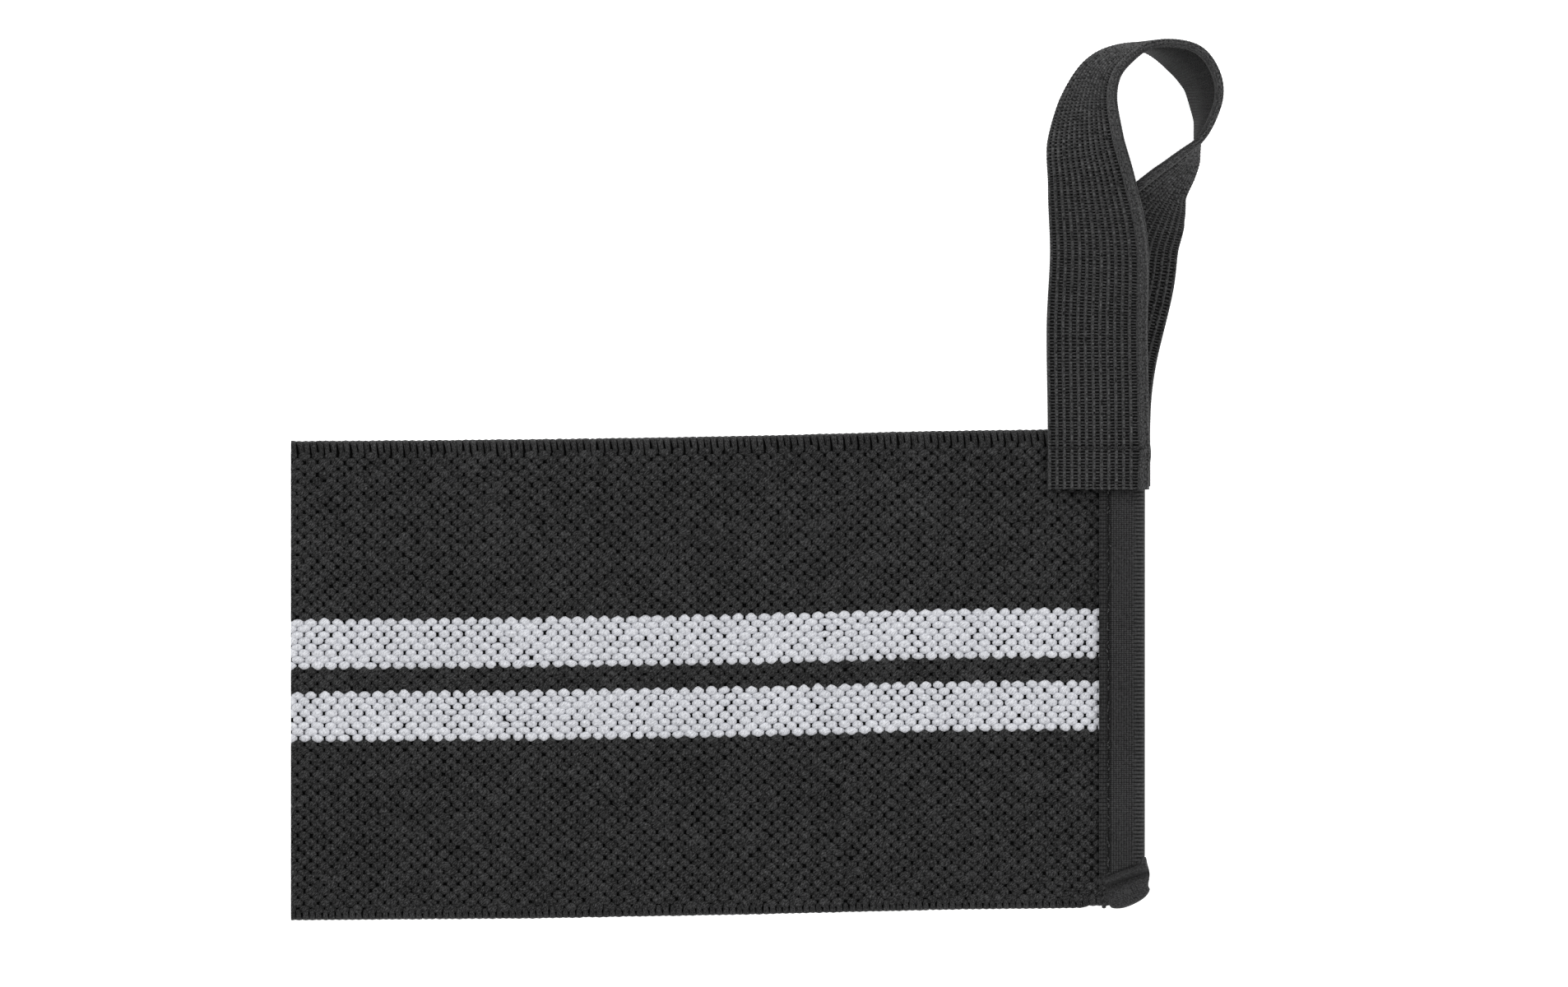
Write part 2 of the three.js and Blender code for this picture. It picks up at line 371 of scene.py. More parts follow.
# twisted filaments and bright glints of painted highlight on each yarn, a tone of its own, and faint patches
# over the cloth
def yarnRecipe(start, look):
    place = start.add("ShaderNodeUVMap", {"uv_map": "yarnMap"}, {})
    stretch = [1 / part for part in look["fibreScale"]]
    # a texture mapping turns first and stretches then
    slant = start.add("ShaderNodeMapping", {"vector_type": "TEXTURE"}, {
        "Vector": place, "Rotation": (0, 0, look["twist"]), "Scale": stretch,
    })
    fibre = start.add("ShaderNodeTexNoise", {"noise_dimensions": "2D"}, {
        "Vector": slant, "Scale": 1.0, "Detail": 2.0, "Roughness": 0.6,
    })
    tone = start.add("ShaderNodeAttribute", {"attribute_name": "tone"}, {}, output="Fac")
    spot = start.add("ShaderNodeTexCoord", {}, {}, output="Object")
    patch = start.add("ShaderNodeTexNoise", {}, {"Vector": spot, "Scale": look["patchScale"], "Detail": 3.0})
    # sparse bright specks: painted highlights where fibres catch the light
    glintNoise = start.add("ShaderNodeTexNoise", {"noise_dimensions": "2D"}, {
        "Vector": slant, "Scale": look["fleckScale"], "Detail": 1.0,
    })
    glints = ((glintNoise - look["fleckFrom"]) * look["fleckSharp"]).clamped() * look["fleckShare"]
    strands = (fibre - 0.5) * look["contrast"] + glints
    cloth = (tone - plainTone) * look["toneShare"] + (patch - 0.5) * look["patchShare"]
    share = strands + cloth + look["middle"]
    bump = start.add("ShaderNodeBump", {}, {
        "Strength": look["bump"], "Distance": look["bumpDepth"] * mm, "Height": fibre,
    })
    return {
        "Base Color": share.colour(look["dark"], look["light"]),
        "Roughness": fibre * look["roughShare"] + look["rough"],
        "Normal": bump,
    }


# the fine rows and columns of a thin warp-knitted tape
def tapeRecipe(start, look):
    flat = start.add("ShaderNodeUVMap", {"uv_map": "yarnMap"}, {})
    place = start.add("ShaderNodeMapping", {}, {"Vector": flat, "Rotation": (0, 0, look["turn"])})
    across = start.add("ShaderNodeSeparateXYZ", {}, {"Vector": place}, output="X")
    along = Wire(start.tree, across.socket.node.outputs["Y"])
    spot = start.add("ShaderNodeTexCoord", {}, {}, output="Object")
    grain = start.add("ShaderNodeTexNoise", {}, {"Vector": spot, "Scale": look["grainScale"], "Detail": 3.0})
    patch = start.add("ShaderNodeTexNoise", {}, {"Vector": spot, "Scale": look["patchScale"], "Detail": 3.0})
    columns = (across * (1 / look["columnPitch"]) + grain * look["wobble"]).wave()
    rows = (along * (1 / look["rowPitch"]) + grain * look["wobble"]).wave()
    grid = start.work("POWER", columns * rows, look["gridPower"])
    # wide ribs with thin slits between them, the slits painted dark as shade between the ribs
    ribs = start.work("POWER", (along * (1 / look["ribPitch"])).wave(), look["ribPower"])
    strip = ((look["stripReach"] - across) * look["stripSharp"]).clamped()
    beside = start.work("ABSOLUTE", across - look["foldMiddle"])
    offEdge = ((beside - look["foldSmooth"]) * look["smoothSharp"]).clamped()
    fold = (look["foldHalf"] - beside).clamped() * offEdge
    ribbed = fold + strip * look["stripRibs"]
    weave = grid + ((ribs - look["ribMiddle"]) * look["ribShare"] + look["gridMiddle"] - grid) * ribbed
    # the stitch line is painted dark, broken by the grain, as shade in its groove
    line = (1 - start.work("ABSOLUTE", across - look["stitchAt"]) * look["stitchSharp"]).clamped()
    broken = ((grain - look["breakFrom"]) * look["breakSharp"]).clamped()
    share = (weave - 0.5) * look["weaveShare"] + (grain - 0.5) * look["contrast"] + look["middle"]
    share = share + (patch - 0.5) * look["patchShare"] - strip * look["stripDark"]
    share = share - line * broken * look["stitchDark"]
    relief = weave + grain * look["grainBump"]
    bump = start.add("ShaderNodeBump", {}, {
        "Strength": look["bump"], "Distance": look["bumpDepth"] * mm, "Height": relief,
    })
    return {
        "Base Color": share.colour(look["dark"], look["light"]),
        "Roughness": weave * look["roughShare"] + look["rough"],
        "Normal": bump,
    }


blackFixed = {"Specular IOR Level": 0.14, "Sheen Weight": 0.03, "Sheen Roughness": 0.5}
knitLook = {
    "dark": (0.004, 0.004, 0.004), "light": (0.115, 0.115, 0.117), "middle": 0.155,
    "fibreScale": (2.2, 7.0, 1.0), "twist": 0.75, "contrast": 1.8, "toneShare": 0.14,
    "fleckScale": 1.1, "fleckFrom": 0.6, "fleckSharp": 6, "fleckShare": 0.4,
    "patchScale": 60.0, "patchShare": 0.12, "rough": 0.66, "roughShare": 0.2,
    "bump": 0.8, "bumpDepth": 0.14, "fixed": blackFixed,
}
stripeLook = {
    **knitLook,
    "dark": (0.3, 0.305, 0.33), "light": (0.84, 0.85, 0.89), "middle": 0.61, "contrast": 1.7,
    "toneShare": 0.1, "fleckShare": 0.1, "patchShare": 0.2,
    "fixed": {"Specular IOR Level": 0.2, "Sheen Weight": 0.05, "Sheen Roughness": 0.5},
}
# the black ground yarn, painted much darker than the floats and given no specular, as painted shade in the
# holes between floats
groundShadeLook = {
    **knitLook,
    "light": (0.012, 0.012, 0.012), "fleckShare": 0, "fixed": {"Specular IOR Level": 0.0},
}
strapLook = {
    **knitLook,
    "light": (0.13, 0.13, 0.132), "middle": 0.295, "fibreScale": (4.5, 3.0, 1.0), "twist": 0.1,
    "contrast": 1.5, "toneShare": 0.12,
}
rungLook = {**strapLook, "fibreScale": (2.0, 6.0, 1.0), "middle": 0.28}
feltLook = {
    **strapLook,
    "fibreScale": (5.0, 5.0, 1.0), "toneShare": 0.03, "contrast": 2.6, "fleckShare": 0.5, "middle": 0.04,
    "bumpDepth": 0.3,
}
# the strap's plate, painted near black as the shade in the holes between rungs
strapGroundShadeLook = {**groundShadeLook, "dark": (0.008, 0.008, 0.008), "light": (0.02, 0.02, 0.02)}
threadLook = {**knitLook, "light": (0.13, 0.13, 0.132), "middle": 0.26, "fibreScale": (3.0, 8.0, 1.0)}
# the seam's stitches are painted nearly black, as shade in the furrow across the strap
seamShadeLook = {**threadLook, "middle": 0.03}
tapeLook = {
    "dark": (0.004, 0.004, 0.004), "light": (0.1, 0.1, 0.102), "middle": 0.285, "turn": 0,
    "grainScale": 3600.0, "contrast": 0.75, "patchScale": 70.0, "patchShare": 0.15,
    "columnPitch": 0.41, "rowPitch": 0.315, "wobble": 0.3, "gridPower": 0.5, "gridMiddle": 0.43,
    "ribPitch": 0.631, "ribPower": 0.4, "ribMiddle": 0.7, "ribShare": 1.3, "weaveShare": 0.5,
    "foldMiddle": 8.27, "foldHalf": 3.1, "foldSmooth": 0.6, "smoothSharp": 2,
    "stripReach": 1.3, "stripSharp": 4, "stripDark": 0.08, "stripRibs": 0.45,
    "stitchAt": 1.5, "stitchSharp": 2.2, "stitchDark": 0.85, "breakFrom": 0.38, "breakSharp": 4,
    "rough": 0.7, "roughShare": 0.15, "bump": 0.8, "bumpDepth": 0.09, "grainBump": 0.5, "fixed": blackFixed,
}
# a tape with its fold, strip and stitch line out of reach
outOfReach = -99
plainLook = {**tapeLook, "foldHalf": outOfReach, "stripReach": outOfReach, "stitchAt": outOfReach}
tailLook = {**plainLook, "turn": -0.35, "columnPitch": 0.37, "weaveShare": 0.2, "contrast": 1.1, "middle": 0.3}
hookLook = {**plainLook, "columnPitch": 0.8, "rowPitch": 0.8, "light": (0.05, 0.05, 0.051)}
hookWireLook = {**threadLook, "rough": 0.35, "fixed": {"Specular IOR Level": 0.5}}

knitYarn = newFinish("black knit yarn", knitLook, yarnRecipe)
stripeYarn = newFinish("grey stripe yarn", stripeLook, yarnRecipe)
groundShadeYarn = newFinish("ground yarn in painted shade", groundShadeLook, yarnRecipe)
strapYarn = newFinish("strap yarn", strapLook, yarnRecipe)
strapGroundShade = newFinish("strap ground in painted shade", strapGroundShadeLook, yarnRecipe)
rungYarn = newFinish("rung yarn", rungLook, yarnRecipe)
feltYarn = newFinish("felted yarn", feltLook, yarnRecipe)
sewingThread = newFinish("sewing thread", threadLook, yarnRecipe)
seamShadeThread = newFinish("seam thread in painted shade", seamShadeLook, yarnRecipe)
bindingTape = newFinish("binding tape", tapeLook, tapeRecipe)
tailTape = newFinish("tail tape", tailLook, tapeRecipe)
hookTape = newFinish("hook tape", hookLook, tapeRecipe)
hookWire = newFinish("hook wire", hookWireLook, yarnRecipe)
print("finishes ready")

# Band: a dark ground, courses of floats on both faces, ribs round the selvedges
knit = {
    "pitch": 2.117, "corner": 2.8, "dip": 0.12, "proud": 0.06, "foot": 0.004, "lastFloat": -5.2,
    "jitter": 0.06, "spread": (1, 0.6, 0.6), "turn": 0.12, "swell": 0.07,
}
# a float's length, width and height, how round its top is, its facets and its yarn
floatForms = {
    "black": {
        "size": (1.94, 1.52, 0.95), "round": 0.54, "sides": 10, "rings": 8,
        "finish": knitYarn, "slot": "black_knit",
    },
    "grey": {
        "size": (2.04, 1.4, 0.95), "round": 0.75, "sides": 10, "rings": 8,
        "finish": stripeYarn, "slot": "stripe_yarn",
    },
    "back": {
        "size": (2.42, 2.3, 0.7), "round": 0.7, "sides": 8, "rings": 6,
        "finish": knitYarn, "slot": "black_knit",
    },
}
# courses from the upper selvedge down
knitZones = (
    {"piece": "knit_upper", "from": 2.0, "to": 28.35, "courses": 27, "float": "black"},
    {
        "piece": "stripe_upper_yarn", "from": 28.35, "to": 36.15, "courses": 8, "float": "grey",
        "replaces": ("stripe_upper",),
    },
    {"piece": "knit_middle", "from": 36.15, "to": 39.85, "courses": 4, "float": "black"},
    {
        "piece": "stripe_lower_yarn", "from": 39.85, "to": 47.65, "courses": 8, "float": "grey",
        "replaces": ("stripe_lower",),
    },
    {"piece": "knit_lower", "from": 47.65, "to": 74.8, "courses": 28, "float": "black"},
)
backZone = {"piece": "knit_back", "from": 1.6, "to": 74.6, "courses": 38, "float": "back"}


# flat places of a zone's floats, in brick order
def floatPlaces(zone, firstCourse, lift):
    step = (zone["to"] - zone["from"]) / zone["courses"]
    places = []
    for course in range(zone["courses"]):
        start = freeEnd + knit["pitch"] * (0.5 if (firstCourse + course) % 2 else 0)
        xs = np.arange(start, knit["lastFloat"], knit["pitch"])
        ys = np.full(len(xs), -(zone["from"] + (course + 0.5) * step))
        places.append(np.stack([xs, ys, np.full(len(xs), lift)], -1))
    return np.concatenate(places)


# a float is a dome on a squarish plan, and its two ends dive into the ground
def floatShape(form):
    long, wide, high = form["size"]
    corner = knit["corner"]
    shape = bmesh.new()
    bmesh.ops.create_uvsphere(shape, u_segments=form["sides"], v_segments=form["rings"], radius=1)
    cutShape(shape, (0, 0, knit["foot"]), (0, 0, -1))
    for vert in shape.verts:
        circle = math.hypot(vert.co.x, vert.co.y)
        square = (abs(vert.co.x) ** corner + abs(vert.co.y) ** corner) ** (1 / corner)
        squarer = circle / square if square > 0 else 1
        vert.co.z = vert.co.z ** form["round"] * high - knit["dip"] * vert.co.x**2
        vert.co.x *= long / 2 * squarer
        vert.co.y *= wide / 2 * squarer
    return shape


def addKnit(zone, shape, places, lay):
    form = floatForms[zone["float"]]
    count = len(places)
    places = places + chance.normal(0, knit["jitter"], places.shape) * knit["spread"]
    mesh = joinedMesh(
        zone["piece"], shape, places, lay,
        turns=chance.normal(0, knit["turn"], count),
        sizes=1 + chance.normal(0, knit["swell"], (count, 3)),
        tones=chance.uniform(0, 1, count),
    )
    cutFlush(mesh)
    replaced = zone.get("replaces", ())
    addPiece(zone["piece"], mesh, form["finish"], replaced)


firstCourse = 0
for zone in knitZones:
    form = floatForms[zone["float"]]
    places = floatPlaces(zone, firstCourse, knit["proud"] - form["size"][2])
    addKnit(zone, floatShape(form), places, onFace)
    firstCourse += zone["courses"]

# the back is plainer: wider, flatter floats, turned face down
backForm = floatForms[backZone["float"]]
shape = floatShape(backForm)
bmesh.ops.rotate(shape, matrix=Matrix.Rotation(math.pi, 3, "X"), verts=shape.verts)
addKnit(backZone, shape, floatPlaces(backZone, 0, backForm["size"][2]), onBack)

# the ground's corners: x, share of the width, share of the wall
groundForm = {"low": (freeEnd, 0.006, 0.22), "high": (boundEnd, 0.994, 0.66), "steps": (90, 40)}
slab = slabShape(groundForm["low"], groundForm["high"], groundForm["steps"])
# the ground is painted darker than its own yarn, as shade in the holes between floats
mesh = laidMesh("band_ground", slab, insideBand)
ground = addPiece("band_ground", mesh, groundShadeYarn, ("band",))

selvedge = {
    "pitch": knit["pitch"] / 2, "first": 0.25, "last": -5.7, "wide": 0.9, "deep": 0.9, "sunk": 0.37,
    "fullness": 0.3, "square": 0.1, "merge": 0.55, "mergeReach": 0.55, "dive": 0.3, "diveCurve": 4,
    "sides": 8, "rings": 12, "jitter": (0.03, 0.12, 0.015), "turn": 0.02, "swell": (0.04, 0.03, 0.015),
    "upperLength": 6.6, "upperSlant": 0.12, "lowerLength": 5.0, "lowerSlant": 0.05,
}


# ribs of yarn that wrap an edge; each is a squarish bead, bent round it, and they merge along the edge
def selvedgeRibs(name, length, slant, lay):
    wide, deep = selvedge["wide"], selvedge["deep"]
    shape = beadShape(selvedge["sides"], selvedge["rings"], (length, wide, deep), selvedge["fullness"])
    for vert in shape.verts:
        squarer = 1 + selvedge["square"] * abs(math.sin(2 * math.atan2(vert.co.z / deep, vert.co.y / wide)))
        wider = 1 + selvedge["merge"] * hump(vert.co.x, 0, selvedge["mergeReach"])
        sunk = selvedge["dive"] * (2 * vert.co.x / length) ** selvedge["diveCurve"]
        vert.co.y *= squarer * wider
        vert.co.z = vert.co.z * squarer - sunk
    xs = np.arange(freeEnd + selvedge["first"], selvedge["last"], selvedge["pitch"])
    count = len(xs)
    places = np.stack([xs, np.zeros(count), np.full(count, -selvedge["sunk"])], -1)
    places = places + chance.normal(0, 1, (count, 3)) * selvedge["jitter"]
    mesh = joinedMesh(
        name, shape, places, lay,
        turns=math.pi / 2 + slant + chance.normal(0, selvedge["turn"], count),
        sizes=1 + chance.normal(0, 1, (count, 3)) * selvedge["swell"],
        tones=chance.uniform(0, 1, count),
    )
    cutFlush(mesh)
    addPiece(name, mesh, knitYarn)


selvedgeRibs("selvedge_upper", selvedge["upperLength"], selvedge["upperSlant"], roundUpper)
selvedgeRibs("selvedge_lower", selvedge["lowerLength"], selvedge["lowerSlant"], roundLower)
print("band ready")

# Thumb loop: the strap's middle line in mm and how far its right-hand edge is turned up, in degrees
loopForm = {
    "rows": (
        (-7.4, 66.5, 6.4, 4), (-7.4, 73, 6.4, 4), (-7.45, 79, 6.55, 4), (-7.65, 92, 7.7, 7),
        (-7.4, 105, 10.2, 18), (-8.57, 114.7, 12.6, 34), (-9.64, 121.7, 13.1, 44.5),
        (-9.17, 128.26, 12.4, 60.5), (-7.13, 133.03, 11.6, 71.5), (-3.9, 135.67, 10.8, 80),
        (-0.1, 136.88, 10.1, 90), (3.34, 136.3, 9.5, 100), (6.7, 134.4, 8.9, 109), (8.9, 131.2, 8.5, 109),
        (9.5, 128.1, 8.3, 105.3), (9.3, 124.8, 8.3, 97.5), (8.4, 122, 8.3, 91), (6.9, 119.3, 8.2, 80),
        (5, 116.72, 7.9, 72.2), (2.27, 113.38, 7.3, 62.7), (0.06, 110.46, 6, 45.7), (-1.9, 106.3, 3.9, 26),
        (-3.2, 99.5, 2.6, 14), (-6, 88.4, 1.35, 4), (-6.9, 82.5, 0.95, 1.3), (-7.2, 77, 0.75, 0),
        (-7.2, 72, 0.75, 0), (-7.2, 67, 0.75, 0),
    ),
    "steps": 40,
}


# a smooth line through the rows, as a spline with the given knot gaps
def splineThrough(rows, gaps, steps):
    rows = np.concatenate([[2 * rows[0] - rows[1]], rows, [2 * rows[-1] - rows[-2]]])
    gaps = np.concatenate([gaps[:1], gaps, gaps[-1:]])
    share = np.linspace(0, 1, steps, endpoint=False)[:, None]
    line = []
    for i in range(1, len(rows) - 2):
        before, here, after, last = rows[i - 1 : i + 3]
        g0, g1, g2 = gaps[i - 1 : i + 2]
        leave = ((here - before) / g0 - (after - before) / (g0 + g1) + (after - here) / g1) * g1
        arrive = ((after - here) / g1 - (last - here) / (g1 + g2) + (last - after) / g2) * g1
        square = 3 * (after - here) - 2 * leave - arrive
        cube = 2 * (here - after) + leave + arrive
        line.append(here + share * (leave + share * (square + share * cube)))
    return np.concatenate([*line, rows[-2:-1]])


def unit(vectors):
    return vectors / np.linalg.norm(vectors, axis=-1, keepdims=True)


def loopRoute():
    rows = np.array(loopForm["rows"], float)
    spacing = np.linalg.norm(np.diff(rows[:, :3], axis=0), axis=1)
    middle = splineThrough(rows[:, :3], np.sqrt(spacing), loopForm["steps"])
    lean = np.radians(splineThrough(rows[:, 3:], np.ones(len(spacing)), loopForm["steps"]))
    ahead = unit(np.gradient(middle, axis=0))
    level = unit(np.stack([ahead[:, 1], -ahead[:, 0], np.zeros(len(ahead))], -1))
    across = level * np.cos(lean) + np.array([0, 0, 1]) * np.sin(lean)
    across = unit(across - ahead * (across * ahead).sum(1, keepdims=True))
    front = np.cross(across, ahead)
    length = np.concatenate([[0], np.cumsum(np.linalg.norm(np.diff(middle, axis=0), axis=1))])
    return {"length": length, "middle": middle, "across": across, "front": front}


route = loopRoute()
loopLength = route["length"][-1]


def routeAt(along, field):
    return np.stack([np.interp(along, route["length"], route[field][:, k]) for k in range(3)], -1)


strap = {
    "right": 8, "half": 0.7, "columns": 12, "firstColumn": -7.18, "columnPitch": 1.176, "rungPitch": 0.5,
    "plateLeft": -7.7, "plateRight": 6.5, "plateLow": -0.5, "plateHigh": 0.2, "plateSteps": (6, 340),
    "leftEdge": -7.77, "edgeFrom": 6.12, "borderRibs": (6.85, 7.33), "rimAcross": 7.76,
    "grooveLeft": 6.6, "grooveRight": 6.85, "seamAt": 6.6, "seamWide": 0.45, "seamDeep": 0.3,
    "bulgeAt": 5.7, "bulgeLong": 2.0, "bulge": 0.3,
}
# bars along the strap: how far out their middle is, their size and facets, and their swelling at each rung
strapBars = {
    "left": {"out": 0, "wide": 0.62, "deep": 1.2, "sides": 8, "swell": 0.06},
    "rim": {"out": 0.44, "wide": 0.4, "deep": 0.4, "sides": 6, "swell": 0.1},
    "border": {"out": 0.44, "wide": 0.44, "deep": 0.44, "sides": 6, "swell": 0.12},
    "rib": {"out": 0.3, "wide": 0.58, "deep": 0.8, "sides": 6, "swell": 0.08},
    "edge": {"out": 0, "wide": strap["right"] - strap["edgeFrom"], "deep": 1.26, "sides": 12, "swell": 0.05},
}
# yarns across the strap, with how far each strays along it and outwards
strapRows = {
    "front": {"out": 0.3, "wide": 0.29, "deep": 0.36, "sides": 6, "stray": (0, 0.022, 0.011)},
    "back": {"out": -0.5, "wide": 0.95, "deep": 0.36, "sides": 6, "stray": (0, 0.01, 0.005)},
}


# flat x across the strap, y along it, z off its front face; the seam pulls the front in
def alongLoop(flat):
    across, along, out = np.moveaxis(flat, -1, 0)
    bulge = strap["bulge"] * hump(along, strap["bulgeAt"], strap["bulgeLong"])
    across = across + bulge * (across > strap["edgeFrom"])
    out = out - strap["seamDeep"] * hump(along, strap["seamAt"], strap["seamWide"]) * (out > 0)
    middle, side, front = (routeAt(along, field) for field in ("middle", "across", "front"))
    return toFrame(middle + side * across[..., None] + front * out[..., None])


# a bar along the whole strap, with a small swelling at each rung
def strapBar(name, across, form):
    rungs = round(loopLength / strap["rungPitch"])
    shape = barShape(form["sides"], rungs * 2, (form["wide"], loopLength, form["deep"]))
    for vert in shape.verts:
        wider = 1 + form["swell"] * math.cos(math.tau * vert.co.y / strap["rungPitch"])
        vert.co.x = across + vert.co.x * wider
        vert.co.z = form["out"] + vert.co.z * wider
        vert.co.y += loopLength / 2
    return laidMesh(name, shape, alongLoop)


def joinMeshes(name, meshes):
    joined = bmesh.new()
    for mesh in meshes:
        joined.from_mesh(mesh)
        bpy.data.meshes.remove(mesh)
    made = bpy.data.meshes.new(name)
    joined.to_mesh(made)
    joined.free()
    return made


# the plate under the ribs and rungs is painted near black, as shade in the holes between rungs
low = (strap["plateLeft"], 0, strap["plateLow"])
high = (strap["plateRight"], loopLength, strap["plateHigh"])
mesh = laidMesh("loop_ground_shade", slabShape(low, high, strap["plateSteps"]), alongLoop)
plate = addPiece("loop_ground_shade", mesh, strapGroundShade, ("thumb_loop",))

ribs = [
    strapBar("rib", strap["leftEdge"], strapBars["left"]),
    strapBar("rib", strap["rimAcross"], strapBars["rim"]),
]
for across in strap["borderRibs"]:
    ribs.append(strapBar("rib", across, strapBars["border"]))
for column in range(strap["columns"] - 1):
    across = strap["firstColumn"] + (column + 0.5) * strap["columnPitch"]
    ribs.append(strapBar("rib", across, strapBars["rib"]))
addPiece("loop_ribs", joinMeshes("loop_ribs", ribs), strapYarn)

edge = strapBar("loop_edge", strap["edgeFrom"] + strapBars["edge"]["wide"] / 2, strapBars["edge"])
addPiece("loop_edge", edge, strapYarn)


# yarns across the strap from left to right, one at each rung
def strapRungs(name, finish, left, right, form):
    shape = barShape(form["sides"], 1, (form["wide"], right - left, form["deep"]))
    bmesh.ops.rotate(shape, matrix=Matrix.Rotation(-math.pi / 2, 3, "Z"), verts=shape.verts)
    alongs = np.arange(strap["rungPitch"] / 2, loopLength, strap["rungPitch"])
    count = len(alongs)
    places = np.stack([np.full(count, (left + right) / 2), alongs, np.full(count, form["out"])], -1)
    places = places + chance.normal(0, 1, (count, 3)) * form["stray"]
    mesh = joinedMesh(name, shape, places, alongLoop, tones=chance.uniform(0, 1, count))
    addPiece(name, mesh, finish)


strapRungs("loop_rungs", rungYarn, strap["plateLeft"], strap["plateRight"], strapRows["front"])
strapRungs("loop_back", feltYarn, strap["plateLeft"], strap["grooveLeft"], strapRows["back"])
strapRungs("loop_back_edge", strapYarn, strap["grooveRight"], strap["right"], strapRows["back"])

# the seam across the front end; its stitches are painted nearly black as shade in the furrow
stitch = {
    "size": (2.3, 0.36, 0.3), "fullness": 0.5, "sides": 7, "rings": 8,
    "from": -6.7, "to": 7.3, "pitch": 2.55, "proud": 0.02,
}
shape = beadShape(stitch["sides"], stitch["rings"], stitch["size"], stitch["fullness"])
xs = np.arange(stitch["from"], stitch["to"], stitch["pitch"])
lift = strap["half"] + stitch["proud"]
places = np.stack([xs, np.full(len(xs), strap["seamAt"]), np.full(len(xs), lift)], -1)
seam = joinedMesh("loop_seam", shape, places, alongLoop, tones=chance.uniform(0, 1, len(xs)))
addPiece("loop_seam", seam, seamShadeThread)
print("thumb loop ready, length in mm:", round(loopLength, 1))

# End binding: tape folded round the bound end
binding = {
    "width": 7.3, "thick": 0.6, "radius": 1.7, "top": 75.9, "bottom": 4.6, "stepsRound": 52, "stepsPerRib": 4,
    "ribs": 113, "ribDeep": 0.1, "ribReach": 3.1, "smooth": 0.6, "smoothSharp": 2,
    "stitchAt": 1.5, "stitchPitch": 3.1, "groove": 0.34, "grooveWide": 0.24, "pucker": 0.09, "puckerWide": 1.3,
    "diveFrom": 5.0, "diveSlope": 0.42, "dive": 0.9,
}
bindingFlat = binding["width"] - binding["radius"]
bindingRun = 2 * bindingFlat + math.pi * binding["radius"]
ribPitch = (binding["top"] - binding["bottom"]) / binding["ribs"]


# flat x round the fold from the front edge, y along the tape, z out of it
def roundBinding(flat):
    run, y, out = np.moveaxis(flat, -1, 0)
    groove = hump(run, binding["stitchAt"], binding["grooveWide"])
    puckers = np.cos(math.tau * y / binding["stitchPitch"])
    puckers = puckers * hump(run, binding["stitchAt"], binding["puckerWide"])
    # slits on both sides of the fold's smooth edge
    beside = np.abs(run - bindingRun / 2)
    offEdge = np.clip(binding["smoothSharp"] * (beside - binding["smooth"]), 0, 1)
    slitted = np.clip(binding["ribReach"] - beside, 0, 1) * offEdge
    slits = np.clip(-np.sin(math.tau * y / ribPitch), 0, 1) * slitted * (out > -binding["thick"] / 2)
    out = out - binding["groove"] * groove + binding["pucker"] * puckers - binding["ribDeep"] * slits
    # the lower end dives under the tuck
    diveTop = binding["diveFrom"] + binding["diveSlope"] * np.minimum(run, bindingRun - run)
    out = out - binding["dive"] * eased(np.clip(diveTop - y, 0, 1))
    inward, up = roundFold(bindingRun / 2 - run, out, binding["radius"])
    past = beside > math.pi / 2 * binding["radius"]
    up = np.where(past, np.sign(bindingRun / 2 - run) * (binding["radius"] + out), up)
    middle = underAt(np.full_like(y, boundEnd), y) + bandAt(boundEnd, "thick") / 2
    return toFrame(np.stack([-inward, y, middle + up], -1))


low = (0, binding["bottom"], -binding["thick"])
high = (bindingRun, binding["top"], 0)
slab = slabShape(low, high, (binding["stepsRound"], binding["stepsPerRib"] * binding["ribs"]))
mesh = laidMesh("binding_tape", slab, roundBinding)
tape = addPiece("binding_tape", mesh, bindingTape, ("end_binding",))

# each stitch shows as three short ends of thread
threadEnd = {
    "size": (0.6, 0.26, 0.26), "fullness": 0.6, "sides": 7, "rings": 8, "from": 7, "to": 66,
    "offsets": (0, 0.45, 1.0), "proud": 0.2, "jitter": (0.1, 0.15, 0.03), "turn": 0.4,
}
shape = beadShape(threadEnd["sides"], threadEnd["rings"], threadEnd["size"], threadEnd["fullness"])
ys = np.arange(threadEnd["from"], threadEnd["to"], binding["stitchPitch"])
ys = np.concatenate([ys + offset for offset in threadEnd["offsets"]])
count = len(ys)
places = np.stack([np.full(count, binding["stitchAt"]), ys, np.full(count, threadEnd["proud"])], -1)
places = places + chance.normal(0, 1, places.shape) * threadEnd["jitter"]
seam = joinedMesh(
    "binding_seam", shape, places, roundBinding,
    turns=math.pi / 2 + chance.normal(0, threadEnd["turn"], count), tones=chance.uniform(0, 1, count),
)
addPiece("binding_seam", seam, sewingThread)

# the tape's tail, tucked over the lower corner: outline from above, and creases as start, end, depth and width
tuck = {
    "outline": (
        (-7.5, 5.0), (-5.8, 6.0), (-2.2, 7.1), (-0.1, 8.3), (0.4, 7.1), (0.76, 5.5), (0.55, 3.75), (0.78, 3.0),
        (0.1, 1.9), (-1.4, 0.9), (-3.4, 0.12), (-5, 0.05), (-5.6, 0.45), (-6.5, 1.9), (-7.2, 3.5),
    ),
    "creases": (
        ((-6.6, 3.2), (0.6, 5.7), 1.15, 0.5),
        ((-6.2, 4.9), (-1.0, 6.9), 0.7, 0.35),
        ((-6.9, 4.6), (-5.9, 1.2), 0.5, 0.3),
        ((-3.4, 5.3), (0.2, 6.9), -0.3, 0.6),
        ((-5.2, 3.0), (-3.2, 3.9), 0.5, 0.5),
    ),
    "centre": (-3.2, 3.6), "half": 2.0, "steps": (150, 70), "outlineSteps": 12,
    "planRound": 0.6, "topRound": 0.5, "creaseEase": 2,
}


